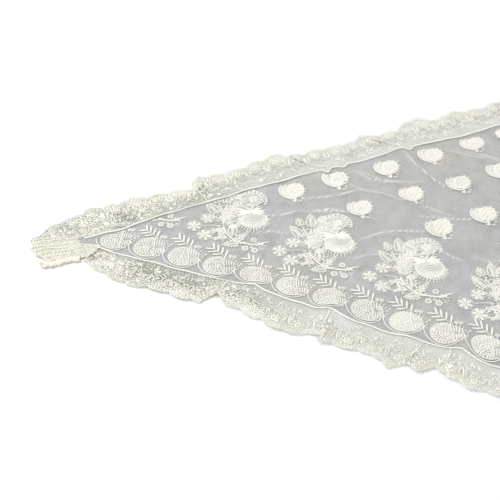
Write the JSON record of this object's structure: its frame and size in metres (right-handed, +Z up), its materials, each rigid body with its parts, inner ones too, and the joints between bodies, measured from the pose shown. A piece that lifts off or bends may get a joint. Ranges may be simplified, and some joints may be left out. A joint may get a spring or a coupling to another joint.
{
  "type": "triangular lace wedding shawl",
  "caption": "Triangular net wedding shawl with floral motifs, corded seams, gathered ends and a scalloped lace edging; folds along its centre.",
  "frame": {"origin": "centre of the bounding box's underside, on the table under the shawl's centre line", "axes": "+X along the long neck edge towards the right tip, +Y away from the back point, +Z up from the table"},
  "size_m": [1.7974, 0.9418, 0.007],
  "materials": {
    "net": "fine machine net, semi-transparent",
    "edging_lace": "dense openwork lace",
    "gathered_lace": "lace gathered into pleats",
    "motif_lace": "close-worked matte lace",
    "cord": "raised cotton cord",
    "thread": "sewing thread"
  },
  "bodies": {
    "left_half": {"net_left": "net", "neck_edging_left": "edging_lace", "side_edging_left": "edging_lace", "tip_pleats_left": "gathered_lace", "tip_stitches_left": "thread", "neck_seam_cord_left": "cord", "side_seam_cord_left": "cord", "garland_left": "cord", "baskets_left": "motif_lace", "basket_ferns_left": "motif_lace", "bouquet_branches_left": "motif_lace", "bouquet_leaves_left": "motif_lace", "bouquet_blooms_left": "motif_lace", "bouquet_roses_left": "motif_lace", "bouquet_blossoms_left": "motif_lace", "bouquet_buds_left": "motif_lace", "sprig_roses_left": "motif_lace", "sprig_calyxes_left": "motif_lace", "neck_edge_cord_left": "cord", "side_edge_cord_left": "cord", "neck_edging_flowers_left": "motif_lace", "side_edging_flowers_left": "motif_lace"},
    "right_half": {"net_right": "net", "neck_edging_right": "edging_lace", "side_edging_right": "edging_lace", "tip_pleats_right": "gathered_lace", "tip_stitches_right": "thread", "neck_seam_cord_right": "cord", "side_seam_cord_right": "cord", "garland_right": "cord", "baskets_right": "motif_lace", "basket_ferns_right": "motif_lace", "bouquet_branches_right": "motif_lace", "bouquet_leaves_right": "motif_lace", "bouquet_blooms_right": "motif_lace", "bouquet_roses_right": "motif_lace", "bouquet_blossoms_right": "motif_lace", "bouquet_buds_right": "motif_lace", "sprig_roses_right": "motif_lace", "sprig_calyxes_right": "motif_lace", "neck_edge_cord_right": "cord", "side_edge_cord_right": "cord", "neck_edging_flowers_right": "motif_lace", "side_edging_flowers_right": "motif_lace"}
  },
  "joints": [
    {"name": "centre_fold", "type": "hinge", "parent": "left_half", "child": "right_half", "pos_m": [0, 0, 0.0074], "axis": [0, -1, 0], "range_deg": [0, 180]}
  ]
}
